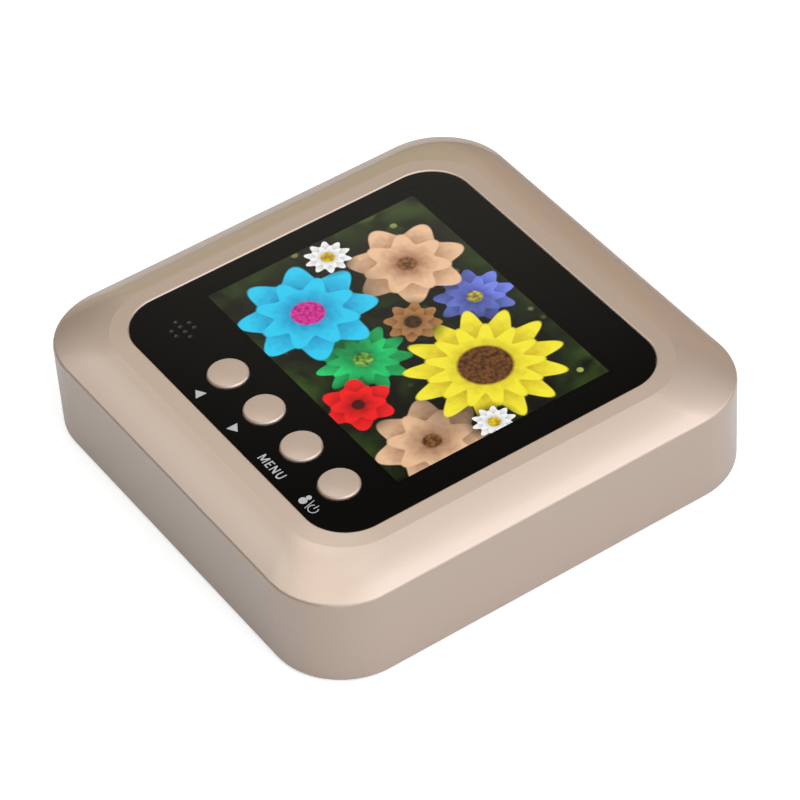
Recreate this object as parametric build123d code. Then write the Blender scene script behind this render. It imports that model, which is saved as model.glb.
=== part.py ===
from build123d import *
import math
import os

# Indoor monitor of a digital door viewer: a rounded box with a glossy front panel, a small
# screen, four round keys and a sound outlet. A camera behind the bracket recess looks through
# the door, and three cells lie in a pocket behind a hinged lid.
#
# Frame: the unit lies on its back. The origin is the middle of the back, +X is to the right of
# the screen, +Y to its top, and +Z points out of the screen. All lengths are in millimetres.

# Display module
active_width = 48.96
active_height = 36.72
display_shift = 0.71
lcd_thickness = 2.3
lcd_left_border = 2.9
lcd_ledge = 8.4
lcd_long_border = 3.0
lcd_wall = 0.5
lcd_floor = 0.2
lcd_glass_thickness = 1.1
lcd_fit_gap = 0.05
driver_width = 2.2
driver_length = 18.0
driver_thickness = 0.4
gasket_thickness = 0.2
gasket_width = 1.2

# Front panel
panel_side_margin = 4.52
panel_top_margin = 7.76
panel_foot_margin = 14.14
panel_corner_radius = 6.9
panel_thickness = 0.8
panel_gap = 0.1
mask_thickness = 0.1
tape_thickness = 0.1
tape_width = 2.0
tape_setback = 0.4
web_thickness = 0.8
web_margin = 1.3

# Housing
side_border = 9.5
end_border = 9.7
ring_width = 2.8
ring_drop = 0.15
lip_height = 0.1
lip_round = 0.25
crease_angle = 11.0
edge_drop = 2.65
edge_round = 0.6
foot_round = 0.8
outer_corner_radius = 11.5
wall = 2.0
rim_wall = 1.1
shoulder_width = 2.8
shoulder_drop = 1.4
band_steps = 4
level_tolerance = 0.01

# Rear cover
cover_thickness = 1.5
cover_gap = 0.15
cover_wall = 1.4
pad_rise = 1.2
pad_radius = 2.9
recess_width = 40.0
recess_height = 26.0
recess_depth = 4.6
recess_corner_radius = 2.5
slot_length = 8.0
slot_width = 3.0
slot_spacing_x = 28.0
slot_spacing_y = 18.0
lens_opening_diameter = 10.0

# Screws
housing_screw_diameter = 2.0
housing_screw_length = 8.0
housing_head_diameter = 3.8
housing_head_height = 1.2
housing_boss_radius = 2.7
housing_boss_inset = 7.0
small_screw_diameter = 1.6
small_screw_length = 2.8
small_head_diameter = 3.0
small_head_height = 0.8
board_boss_radius = 1.9
screw_gap = 0.05
head_gap = 0.2
cross_width = 0.45
cross_depth = 0.5

# Main board
board_thickness = 0.8
board_corner_radius = 2.0
board_edge_gap = 0.7
board_boss_gap = 0.4
board_flex_gap = 0.6
upper_boss_spacing = 40.0
upper_boss_inset = 12.0
lower_boss_inset = 7.5
lower_boss_drop = 1.92

# Keys and their switches
button_diameter = 6.16
button_pitch = 9.46
button_count = 4
button_row_height = 7.23
button_row_start = 20.07
button_rise = 0.45
button_crown = 0.1
button_rim = 0.2
button_gap = 0.2
button_travel = 0.35
flange_radius = 3.7
flange_thickness = 0.6
flange_gap = 0.1
stem_radius = 1.2
switch_size = 5.2
switch_height = 1.0
switch_corner_radius = 0.5
plunger_radius = 1.1
plunger_rise = 0.45
plunger_collar = 0.4
plunger_collar_thickness = 0.2
plunger_gap = 0.1
plunger_play = 0.05

# Sound outlet and loudspeaker
sound_hole_diameter = 0.7
sound_hole_pitch = 1.3
sound_row_pitch = 1.53
sound_row_counts = (2, 4, 2)
sound_left_inset = 8.09
sound_row_height = 7.2
sound_chamber_radius = 2.5
speaker_diameter = 10.0
speaker_shift = 1.3
speaker_height = 2.8
speaker_rim = 1.2
speaker_gap = 0.3
speaker_gasket_thickness = 0.3
cone_thickness = 0.25
cone_drop = 0.5
cone_dome = 0.4
magnet_diameter = 5.5
magnet_height = 1.2

# Battery pocket and lid
cell_diameter = 10.3
cell_length = 44.5
cell_count = 3
cell_side_gap = 0.35
cell_top_gap = 0.2
cell_lid_gap = 0.3
cell_round = 0.6
nub_diameter = 3.8
nub_height = 1.0
contact_thickness = 0.3
contact_size = 8.0
contact_gap = 0.1
spring_space = 3.6
spring_wire = 0.5
spring_diameter = 6.5
spring_taper_angle = 22.0
spring_turns = 2.5
spring_gap = 0.05
pocket_wall = 1.2
pocket_floor = 0.8
pocket_corner_radius = 1.0
floor_gap = 0.1
lid_thickness = 1.0
lid_seat_gap = 0.05
lid_gap = 0.15
lid_ledge = 0.9
lid_corner_radius = 1.5
tab_width = 6.0
tab_spacing = 30.0
tab_leg = 0.75
tab_gap = 0.1
tab_hook = 0.8
tab_hook_rise = 0.75
tab_hook_thickness = 0.55
tab_notch_gap = 0.3
latch_width = 10.0
latch_thickness = 0.8
latch_height = 1.6
grip_count = 5
grip_pitch = 1.4
grip_width = 0.7
grip_length = 14.0
grip_depth = 0.35
grip_inset = 2.0

# Camera
camera_board_width = 20.0
camera_board_height = 12.0
camera_board_thickness = 0.8
camera_board_drop = 1.0
camera_post_spacing = 16.0
camera_post_radius = 1.6
lens_gap = 0.6
holder_size = 8.5
holder_wall = 0.8
holder_height = 3.0
sensor_size = 5.0
sensor_thickness = 0.7
filter_size = 5.6
filter_thickness = 0.3
barrel_diameter = 6.0
barrel_flange_diameter = 7.0
barrel_flange_height = 0.7
barrel_gap = 0.05
barrel_bore_diameter = 4.0
barrel_overlap = 2.0
lens_thickness = 1.2
lens_bulge = 0.4
lens_seat = 0.4
flex_thickness = 0.15
camera_flex_width = 6.0
camera_flex_reach = 1.5
camera_connector_width = 8.0
camera_connector_depth = 3.0
camera_connector_gap = 2.1

# Parts on the main board
connector_length = 16.0
connector_depth = 3.0
connector_height = 1.0
flex_width = 14.0
flex_offset = 5.0
flex_bend_radius = 1.0
flex_run = 0.6
processor_size = 12.0
processor_height = 1.2
memory_width = 8.0
memory_length = 10.0
memory_height = 1.0
crystal_length = 5.0
crystal_width = 3.2
crystal_height = 1.1
inductor_size = 6.0
inductor_height = 3.0
inductor_core_radius = 2.4
capacitor_diameter = 5.0
capacitor_height = 5.4
capacitor_base_height = 0.9
capacitor_pitch = 6.5
passive_length = 1.6
passive_width = 0.8
passive_height = 0.6
chip_corner_radius = 0.3
chip_gap = 1.0

# Card and its socket
card_length = 15.0
card_width = 11.0
card_thickness = 0.7
card_lip_thickness = 1.0
card_lip_length = 1.7
card_corner_radius = 0.8
card_step = 1.3
card_step_length = 8.0
card_setback = 0.5
card_slot_gap = 0.2
socket_length = 14.3
socket_width = 14.0
socket_height = 1.9
socket_raise = 4.0
scoop_radius = 5.0
scoop_depth = 0.7
scoop_width = 9.0

# Places on the board, as shares of its free upper part from the left edge and from the pocket
processor_shares = (0.76, 0.2)
memory_share_up = 0.82
crystal_shares = (0.76, 0.5)
inductor_shares = (0.93, 0.78)
capacitor_shares = (0.33, 0.2)
passive_shares = (
    (0.58, 0.1), (0.58, 0.2), (0.58, 0.3), (0.58, 0.4), (0.7, 0.62), (0.76, 0.62),
    (0.82, 0.62), (0.93, 0.66), (0.72, 0.9),
)
boss_passive_shares_up = (0.63, 0.71, 0.79)

# Levels through the thickness, stacked from the back to the face of the panel
lid_ledge_level = lid_thickness + lid_seat_gap
cell_bottom = lid_thickness + cell_lid_gap
cell_axis = cell_bottom + cell_diameter / 2
pocket_ceiling = cell_bottom + cell_diameter + cell_top_gap
pocket_top = pocket_ceiling + pocket_floor
board_bottom = pocket_top + floor_gap
board_top = board_bottom + board_thickness
lcd_top = board_top + lcd_thickness
web_bottom = lcd_top + gasket_thickness
web_top = web_bottom + web_thickness
mask_bottom = web_top + tape_thickness
panel_bottom = mask_bottom + mask_thickness
panel_level = panel_bottom + panel_thickness
ring_level = panel_level + lip_height
edge_level = panel_level - edge_drop
shoulder_level = web_bottom - shoulder_drop
pad_top = cover_thickness + pad_rise
recess_ceiling = recess_depth + cover_wall

# Outlines seen from the front
panel_width = active_width + 2 * panel_side_margin
panel_height = panel_foot_margin + active_height + panel_top_margin
outer_width = panel_width + 2 * side_border
outer_height = panel_height + 2 * end_border
inner_width = outer_width - 2 * wall
inner_height = outer_height - 2 * wall
inner_corner_radius = outer_corner_radius - wall
cover_width = outer_width - 2 * (rim_wall + cover_gap)
cover_height = outer_height - 2 * (rim_wall + cover_gap)
cover_corner_radius = outer_corner_radius - rim_wall - cover_gap
crease_level = ring_level - ring_drop
crease_turn = math.radians(crease_angle)
crease_radius = panel_corner_radius + ring_width
band_width = side_border - ring_width
edge_turn = 2 * math.atan((crease_level - edge_level) / band_width) - crease_turn
band_radius = band_width / (math.sin(edge_turn) - math.sin(crease_turn))

# Display places
display_x = -display_shift
display_y = panel_foot_margin + active_height / 2 - panel_height / 2
lcd_left = display_x - active_width / 2 - lcd_left_border
lcd_right = display_x + active_width / 2 + lcd_ledge
lcd_width = lcd_right - lcd_left
lcd_height = active_height + 2 * lcd_long_border
lcd_x = (lcd_left + lcd_right) / 2

# Key and sound places
button_radius = button_diameter / 2
button_y = button_row_height - panel_height / 2
button_first_x = button_row_start - panel_width / 2
button_xs = [button_first_x + k * button_pitch for k in range(button_count)]
key_names = ("left", "right", "menu", "power")
flange_top = web_bottom - flange_gap
flange_bottom = flange_top - flange_thickness
switch_top = board_top + switch_height
plunger_top = switch_top + plunger_rise
collar_top = switch_top - plunger_gap
collar_bottom = collar_top - plunger_collar_thickness
sound_x = sound_left_inset - panel_width / 2
sound_y = sound_row_height - panel_height / 2
speaker_y = sound_y - speaker_shift
speaker_top = web_bottom - speaker_gasket_thickness
speaker_bottom = speaker_top - speaker_height

# Battery places
pocket_width = cell_length + spring_space + contact_thickness + contact_gap
pocket_height = cell_count * cell_diameter + (cell_count + 1) * cell_side_gap
pocket_foot = -inner_height / 2 + cover_gap + pocket_wall
pocket_head = pocket_foot + pocket_height
pocket_y = (pocket_foot + pocket_head) / 2
lid_width = pocket_width + 2 * lid_ledge
lid_foot = pocket_foot - lid_ledge
lid_head = pocket_head + lid_ledge
hinge_y = lid_foot + lid_thickness / 2
hinge_z = lid_thickness / 2
cell_ys = [
    pocket_foot + cell_side_gap + cell_diameter / 2 + k * (cell_diameter + cell_side_gap)
    for k in range(cell_count)
]

# Bracket recess and camera places
recess_y = (pocket_head + pocket_wall + inner_height / 2) / 2
camera_board_top = board_bottom - camera_board_drop
camera_board_bottom = camera_board_top - camera_board_thickness
holder_bottom = camera_board_bottom - holder_height
lens_level = recess_ceiling + lens_gap
barrel_top = holder_bottom + barrel_overlap

# Screw and board places
housing_boss_x = outer_width / 2 - housing_boss_inset
housing_boss_y = outer_height / 2 - housing_boss_inset
board_left = -inner_width / 2 + board_edge_gap
board_right = lcd_right - board_flex_gap
board_head = housing_boss_y - housing_boss_radius - board_boss_gap
board_foot = -board_head
board_width = board_right - board_left
board_height = board_head - board_foot
free_foot = pocket_head + pocket_wall
free_height = board_head - free_foot
board_bosses = (
    (-upper_boss_spacing / 2, outer_height / 2 - upper_boss_inset),
    (upper_boss_spacing / 2, outer_height / 2 - upper_boss_inset),
    (-outer_width / 2 + lower_boss_inset, button_y - lower_boss_drop),
    (outer_width / 2 - lower_boss_inset, button_y - lower_boss_drop),
)
corners = ((-1, -1), (1, -1), (1, 1), (-1, 1))

# Card places
socket_left = board_left
socket_right = socket_left + socket_length
socket_bottom = board_bottom - socket_height
card_level = (socket_bottom + board_bottom) / 2
card_left = -outer_width / 2 + card_setback
card_right = card_left + card_length
card_y = free_foot + socket_width / 2 + socket_raise
card_tunnel_height = card_lip_thickness + 2 * card_slot_gap
card_tunnel_width = card_width + 2 * card_slot_gap


def slab(width, height, radius, low, high, x=0, y=0):
    """Plate with rounded corners between two levels."""
    return extrude(Pos(x, y, low) * RectangleRounded(width, height, radius), high - low)


def block(width, height, low, high, x=0, y=0):
    """Square-cornered plate between two levels."""
    return extrude(Pos(x, y, low) * Rectangle(width, height), high - low)


def disc(radius, low, high, x=0, y=0):
    """Round plate between two levels."""
    return extrude(Pos(x, y, low) * Circle(radius), high - low)


def board_place(shares):
    """Point on the free upper part of the board, given as shares of its width and height."""
    across, up = shares
    return board_left + across * board_width, free_foot + up * free_height


def group(solids):
    """Several separate solids kept under one name."""
    return Compound(children=list(solids))


def band_section(share):
    """Outline of the domed bezel, this share of its arc up from its edge to the crease."""
    turn = edge_turn + (crease_turn - edge_turn) * share
    inset = band_width - band_radius * (math.sin(turn) - math.sin(crease_turn))
    level = crease_level - band_radius * (math.cos(crease_turn) - math.cos(turn))
    radius = outer_corner_radius + (crease_radius - outer_corner_radius) * inset / band_width
    outline = RectangleRounded(outer_width - 2 * inset, outer_height - 2 * inset, radius)
    return Pos(0, 0, level) * outline


def outer_form():
    """Solid form of the housing: walls, a bezel that curves up to a crease, and the ring."""
    walls = slab(outer_width, outer_height, outer_corner_radius, 0, edge_level)
    walls = fillet(walls.faces().sort_by(Axis.Z)[0].edges(), foot_round)
    bezel = loft([band_section(k / band_steps) for k in range(band_steps + 1)])
    ring_edge = Pos(0, 0, ring_level) * RectangleRounded(
        panel_width, panel_height, panel_corner_radius
    )
    form = walls + bezel + loft([band_section(1), ring_edge], ruled=True)
    brow = [
        edge for edge in form.edges()
        if max(abs((edge @ t).Z - edge_level) for t in (0, 0.5, 1)) < level_tolerance
    ]
    return fillet(brow, edge_round)


def front_cavity():
    """Hollow of the front housing, drawn in under the bezel so that the shell stays even."""
    low = RectangleRounded(inner_width, inner_height, inner_corner_radius)
    high = RectangleRounded(
        inner_width - 2 * shoulder_width,
        inner_height - 2 * shoulder_width,
        inner_corner_radius - shoulder_width,
    )
    cavity = slab(inner_width, inner_height, inner_corner_radius, cover_thickness, shoulder_level)
    cavity += loft([Pos(0, 0, shoulder_level) * low, Pos(0, 0, web_bottom) * high], ruled=True)
    return cavity


def panel_recess(grow, low, high):
    """Space of the front panel's outline, wider all round by grow."""
    return slab(
        panel_width + 2 * grow, panel_height + 2 * grow, panel_corner_radius + grow, low, high
    )


def button_holes(low, high):
    """Four round holes that the keys stand in."""
    return [disc(button_radius + button_gap, low, high, x, button_y) for x in button_xs]


def sound_holes(low, high):
    """Small holes of the sound outlet, in three rows."""
    holes = []
    for row, count in enumerate(sound_row_counts):
        y = sound_y + (row - (len(sound_row_counts) - 1) / 2) * sound_row_pitch
        for k in range(count):
            x = sound_x + (k - (count - 1) / 2) * sound_hole_pitch
            holes.append(disc(sound_hole_diameter / 2, low, high, x, y))
    return holes


def card_slot():
    """Slot for the card in the left wall, with a scoop for a fingertip outside."""
    depth = wall + card_setback
    slot = block(
        2 * depth,
        card_tunnel_width,
        card_level - card_tunnel_height / 2,
        card_level + card_tunnel_height / 2,
        -outer_width / 2,
        card_y,
    )
    scoop = Rot(90, 0, 0) * Cylinder(scoop_radius, scoop_width)
    scoop = Pos(-outer_width / 2 - scoop_radius + scoop_depth, card_y, card_level) * scoop
    return slot + scoop


def front_housing():
    """Moulded front shell: walls, domed bezel, ring, panel recess, web and screw bosses."""
    shell = outer_form() - front_cavity()
    shell -= slab(
        outer_width - 2 * rim_wall,
        outer_height - 2 * rim_wall,
        outer_corner_radius - rim_wall,
        0,
        cover_thickness,
    )
    shell -= panel_recess(panel_gap, web_top, ring_level + lip_height)
    lip = [
        edge for edge in shell.edges()
        if max(abs((edge @ t).Z - ring_level) for t in (0, 0.5, 1)) < level_tolerance
        and abs((edge @ 0.5).X) < panel_width / 2 + ring_width / 2
        and abs((edge @ 0.5).Y) < panel_height / 2 + ring_width / 2
    ]
    shell = fillet(lip, lip_round)
    shell -= block(
        active_width + 2 * web_margin,
        active_height + 2 * web_margin,
        web_bottom,
        web_top,
        display_x,
        display_y,
    )
    for hole in button_holes(web_bottom, web_top):
        shell -= hole
    shell -= disc(sound_chamber_radius, web_bottom, web_top, sound_x, sound_y)
    for side_x, side_y in corners:
        x, y = side_x * housing_boss_x, side_y * housing_boss_y
        shell += disc(housing_boss_radius, pad_top, web_bottom, x, y)
        hole_top = cover_thickness + housing_screw_length + head_gap
        shell -= disc(housing_screw_diameter / 2 + screw_gap, pad_top, hole_top, x, y)
    for x, y in board_bosses:
        shell += disc(board_boss_radius, board_top, web_bottom, x, y)
        shell -= disc(small_screw_diameter / 2 + screw_gap, board_top, lcd_top, x, y)
    return shell - card_slot()


def front_panel():
    """Clear acrylic sheet over the screen, with the key holes and the sound outlet."""
    sheet = panel_recess(0, panel_bottom, panel_level)
    for hole in button_holes(panel_bottom, panel_level) + sound_holes(panel_bottom, panel_level):
        sheet -= hole
    return sheet


def panel_mask():
    """Black print on the back of the sheet, with a clear window over the picture."""
    ink = panel_recess(0, mask_bottom, panel_bottom)
    ink -= block(active_width, active_height, mask_bottom, panel_bottom, display_x, display_y)
    for hole in button_holes(mask_bottom, panel_bottom) + sound_holes(mask_bottom, panel_bottom):
        ink -= hole
    return ink


def panel_tape():
    """Double-sided tape round the rim of the panel."""
    tape = panel_recess(-tape_setback, web_top, mask_bottom)
    return tape - panel_recess(-tape_setback - tape_width, web_top, mask_bottom)


def lcd_gasket():
    """Foam frame that closes the gap between the display and the web."""
    inner_w = active_width + 2 * web_margin
    inner_h = active_height + 2 * web_margin
    outer_w = inner_w + 2 * gasket_width
    outer_h = inner_h + 2 * gasket_width
    foam = block(outer_w, outer_h, lcd_top, web_bottom, display_x, display_y)
    return foam - block(inner_w, inner_h, lcd_top, web_bottom, display_x, display_y)


def lcd_frame():
    """Pressed steel tray round the display."""
    tray = slab(lcd_width, lcd_height, lcd_wall, board_top, lcd_top, lcd_x, display_y)
    return tray - block(
        lcd_width - 2 * lcd_wall,
        lcd_height - 2 * lcd_wall,
        board_top + lcd_floor,
        lcd_top,
        lcd_x,
        display_y,
    )


def lcd_backlight():
    """Light guide under the glass."""
    return block(
        lcd_width - 2 * (lcd_wall + lcd_fit_gap),
        lcd_height - 2 * (lcd_wall + lcd_fit_gap),
        board_top + lcd_floor,
        lcd_top - lcd_glass_thickness,
        lcd_x,
        display_y,
    )


def lcd_glass():
    """Display glass: a full lower sheet and a shorter upper one that leaves the ledge bare."""
    low = lcd_top - lcd_glass_thickness
    middle = lcd_top - lcd_glass_thickness / 2
    width = lcd_width - 2 * (lcd_wall + lcd_fit_gap)
    height = lcd_height - 2 * (lcd_wall + lcd_fit_gap)
    glass = block(width, height, low, middle, lcd_x, display_y)
    upper_width = width - (lcd_ledge - lcd_left_border)
    upper_x = lcd_left + lcd_wall + lcd_fit_gap + upper_width / 2
    return glass + block(upper_width, height, middle, lcd_top, upper_x, display_y)


def display_driver():
    """Driver chip bonded on the bare ledge of the glass."""
    ledge_start = lcd_right - lcd_wall - lcd_fit_gap - (lcd_ledge - lcd_left_border)
    x = (ledge_start + lcd_right - lcd_wall) / 2
    low = lcd_top - lcd_glass_thickness / 2
    return block(driver_width, driver_length, low, low + driver_thickness, x, display_y)


def connector_face():
    """X of the display connector's face that the flexible cable enters."""
    return board_right - connector_depth / 2


def lcd_flex():
    """Flat flexible cable that turns round the edge of the board to its connector."""
    y = display_y + flex_offset
    turn = lcd_right + flex_run
    low = board_bottom - connector_height / 2
    middle = low + flex_bend_radius
    high = middle + flex_bend_radius
    half = flex_thickness / 2
    runs = []
    for level, start in ((high, lcd_right), (low, connector_face())):
        runs.append(
            block(turn - start, flex_width, level - half, level + half, (start + turn) / 2, y)
        )
    bend = Cylinder(flex_bend_radius + half, flex_width) - Cylinder(
        flex_bend_radius - half, flex_width
    )
    bend = Pos(turn, y, middle) * (Rot(90, 0, 0) * bend)
    reach = 2 * (flex_bend_radius + flex_thickness)
    bend -= block(reach, 2 * flex_width, middle - reach, middle + reach, turn - reach / 2, y)
    return runs[0] + bend + runs[1]


def display_connector():
    """Flat-cable connector of the display on the back of the board."""
    return block(
        connector_depth,
        connector_length,
        board_bottom - connector_height,
        board_bottom,
        connector_face() - connector_depth / 2,
        display_y + flex_offset,
    )


def main_board():
    """Circuit board behind the display, with an opening for the loudspeaker."""
    board = slab(
        board_width,
        board_height,
        board_corner_radius,
        board_bottom,
        board_top,
        (board_left + board_right) / 2,
    )
    board -= disc(speaker_diameter / 2 + speaker_gap, board_bottom, board_top, sound_x, speaker_y)
    for x, y in board_bosses:
        board -= disc(small_screw_diameter / 2 + screw_gap, board_bottom, board_top, x, y)
    return board


def memory_place():
    """Middle of the memory chip, beside the head of the upper left board screw."""
    x = -upper_boss_spacing / 2 - small_head_diameter / 2 - chip_gap - memory_width / 2
    return x, free_foot + memory_share_up * free_height


def chip(width, length, height, place):
    """Flat chip on the back of the board."""
    x, y = place
    return slab(width, length, chip_corner_radius, board_bottom - height, board_bottom, x, y)


def power_inductor():
    """Square moulded coil with a round core that stands out a little."""
    x, y = board_place(inductor_shares)
    case_low = board_bottom - inductor_height * 2 / 3
    corner = inductor_core_radius / 2
    case = slab(inductor_size, inductor_size, corner, case_low, board_bottom, x, y)
    return case + disc(inductor_core_radius, board_bottom - inductor_height, case_low, x, y)


def capacitors():
    """Two aluminium can capacitors on square plastic feet."""
    cans = []
    x, y = board_place(capacitor_shares)
    foot_low = board_bottom - capacitor_base_height
    for side in (-1, 1):
        place = x + side * capacitor_pitch / 2
        foot = block(capacitor_diameter, capacitor_diameter, foot_low, board_bottom, place, y)
        can = disc(capacitor_diameter / 2, board_bottom - capacitor_height, foot_low, place, y)
        can = fillet(can.faces().sort_by(Axis.Z)[0].edges(), chip_corner_radius)
        cans.append(foot + can)
    return group(cans)


def passives():
    """Small resistors and capacitors of the board, three of them below a board screw."""
    low = board_bottom - passive_height
    places = [board_place(shares) for shares in passive_shares]
    places += [
        (-upper_boss_spacing / 2, free_foot + up * free_height) for up in boss_passive_shares_up
    ]
    return group(
        block(passive_length, passive_width, low, board_bottom, x, y) for x, y in places
    )


def card_socket():
    """Sheet-steel socket that the card slides into."""
    x = (socket_left + socket_right) / 2
    shell = block(socket_length, socket_width, socket_bottom, board_bottom, x, card_y)
    tunnel_end = card_right + card_slot_gap
    tunnel_mouth = socket_left - card_slot_gap
    return shell - block(
        tunnel_end - tunnel_mouth,
        card_tunnel_width,
        card_level - card_tunnel_height / 2,
        card_level + card_tunnel_height / 2,
        (tunnel_end + tunnel_mouth) / 2,
        card_y,
    )


def memory_card():
    """Small memory card with its narrow nose and the thicker lip at its outer end."""
    half = card_width / 2
    nose_half = half - card_step
    nose_start = card_right - card_step_length
    points = [
        (card_left, -half), (card_right, -half), (card_right, nose_half),
        (nose_start, nose_half), (nose_start - card_step, half), (card_left, half),
    ]
    face = make_face(Polyline(*points, close=True))
    low = card_level - card_lip_thickness / 2
    card = extrude(Pos(0, card_y, low) * face, card_thickness)
    card = fillet(card.edges().filter_by(Axis.Z).group_by(Axis.X)[0], card_corner_radius)
    lip = block(
        card_lip_length,
        card_width - 2 * card_corner_radius,
        low,
        low + card_lip_thickness,
        card_left + card_lip_length / 2 + card_corner_radius / 2,
        card_y,
    )
    return card + lip


def dome(radius, rise, level, x, y):
    """Shallow round dome that stands on a level."""
    ball_radius = (rise**2 + radius**2) / (2 * rise)
    ball = Pos(x, y, level + rise - ball_radius) * Sphere(ball_radius)
    return ball & disc(radius, level, level + rise, x, y)


def button(x):
    """Round key: crowned cap with a bevelled rim, a flange behind the web and a stem."""
    rim_level = panel_level + button_rise - button_crown
    cap = disc(button_radius, flange_top, rim_level, x, button_y)
    cap = chamfer(cap.faces().sort_by(Axis.Z)[-1].edges(), button_rim)
    cap += dome(button_radius - button_rim, button_crown, rim_level, x, button_y)
    cap += disc(flange_radius, flange_bottom, flange_top, x, button_y)
    return cap + disc(stem_radius, plunger_top, flange_bottom, x, button_y)


def switch_bodies():
    """Four low push switches under the keys."""
    bodies = []
    cavity_low = collar_bottom - button_travel - plunger_gap
    cavity_high = collar_top + plunger_play
    for x in button_xs:
        body = slab(
            switch_size, switch_size, switch_corner_radius, board_top, switch_top, x, button_y
        )
        collar_room = plunger_radius + plunger_collar + plunger_gap
        body -= disc(collar_room, cavity_low, cavity_high, x, button_y)
        body -= disc(plunger_radius + plunger_gap, cavity_high, switch_top, x, button_y)
        bodies.append(body)
    return group(bodies)


def plunger(x):
    """Plunger of one switch, held in its body by a collar."""
    pin = disc(plunger_radius, collar_bottom, plunger_top, x, button_y)
    return pin + disc(plunger_radius + plunger_collar, collar_bottom, collar_top, x, button_y)


def speaker_gasket():
    """Foam ring between the loudspeaker and the web."""
    ring = disc(speaker_diameter / 2, speaker_top, web_bottom, sound_x, speaker_y)
    return ring - disc(
        speaker_diameter / 2 - speaker_rim, speaker_top, web_bottom, sound_x, speaker_y
    )


def speaker_body():
    """Basket of the loudspeaker, closed behind by its magnet."""
    cup = disc(speaker_diameter / 2, speaker_bottom, speaker_top, sound_x, speaker_y)
    inner = speaker_diameter / 2 - speaker_rim
    cup -= disc(inner, speaker_bottom + speaker_rim / 2, speaker_top, sound_x, speaker_y)
    magnet_top = speaker_bottom + speaker_rim / 2 + magnet_height
    return cup + disc(magnet_diameter / 2, speaker_bottom, magnet_top, sound_x, speaker_y)


def speaker_cone():
    """Thin domed film of the loudspeaker, held by its edge in the basket."""
    radius = speaker_diameter / 2 - speaker_rim
    level = speaker_top - cone_drop
    film = disc(radius, level - cone_thickness, level, sound_x, speaker_y)
    return film + dome(radius / 2, cone_dome, level, sound_x, speaker_y)


def pocket_box(grow, low, high):
    """Space of the battery pocket, wider all round by grow."""
    return slab(
        pocket_width + 2 * grow,
        pocket_height + 2 * grow,
        pocket_corner_radius + grow,
        low,
        high,
        0,
        pocket_y,
    )


def camera_posts(radius, low, high):
    """Two round posts, or their holes, on which the camera board is fixed."""
    return [disc(radius, low, high, side * camera_post_spacing / 2, recess_y) for side in (-1, 1)]


def rear_housing():
    """Inset rear cover with the battery pocket, the bracket recess and the screw pads."""
    cover = slab(cover_width, cover_height, cover_corner_radius, 0, cover_thickness)
    for side_x, side_y in corners:
        x, y = side_x * housing_boss_x, side_y * housing_boss_y
        cover += disc(pad_radius, cover_thickness, pad_top, x, y)
    cover += pocket_box(pocket_wall, 0, pocket_top)
    recess_outer = slab(
        recess_width + 2 * cover_wall,
        recess_height + 2 * cover_wall,
        recess_corner_radius + cover_wall,
        0,
        recess_ceiling,
        0,
        recess_y,
    )
    cover += recess_outer
    for post in camera_posts(camera_post_radius, recess_ceiling, camera_board_bottom):
        cover += post
    cover -= slab(
        recess_width, recess_height, recess_corner_radius, 0, recess_depth, 0, recess_y
    )
    cover -= pocket_box(0, 0, pocket_ceiling)
    cover -= lid_seat()
    for side in (-1, 1):
        cover -= tab_notch(side)
    cover -= disc(lens_opening_diameter / 2, recess_depth, recess_ceiling, 0, recess_y)
    for side_x, side_y in corners:
        slot = SlotOverall(slot_length, slot_width)
        x, y = side_x * slot_spacing_x / 2, recess_y + side_y * slot_spacing_y / 2
        cover -= extrude(Pos(x, y, recess_depth) * slot, cover_wall)
        x, y = side_x * housing_boss_x, side_y * housing_boss_y
        cover -= disc(housing_head_diameter / 2 + head_gap, 0, cover_thickness, x, y)
        cover -= disc(
            housing_screw_diameter / 2 + head_gap, cover_thickness, pad_top, x, y
        )
    hole_low = camera_board_bottom + camera_board_thickness - small_screw_length - head_gap
    for hole in camera_posts(small_screw_diameter / 2 + screw_gap, hole_low, camera_board_bottom):
        cover -= hole
    return cover


def lid_seat():
    """Shallow seat of the lid, with round corners at its head and square ones at its pivot."""
    width = lid_width + 2 * lid_gap
    radius = lid_corner_radius + lid_gap
    height = lid_head - lid_foot + 2 * lid_gap
    seat = slab(width, height, radius, 0, lid_ledge_level, 0, (lid_foot + lid_head) / 2)
    return seat + block(
        width, 2 * radius, 0, lid_ledge_level, 0, lid_foot - lid_gap + radius
    )


def tab_notch(side):
    """Notch in the foot wall of the pocket that one hinge tab of the lid hooks into."""
    deep = tab_hook + tab_gap + tab_notch_gap
    low = lid_ledge_level + (cover_thickness - lid_ledge_level) / 2
    high = lid_thickness + tab_hook_rise + tab_hook_thickness + tab_notch_gap
    return block(
        tab_width + 2 * tab_notch_gap,
        2 * deep,
        cover_thickness,
        high,
        side * tab_spacing / 2,
        pocket_foot,
    )


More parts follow.
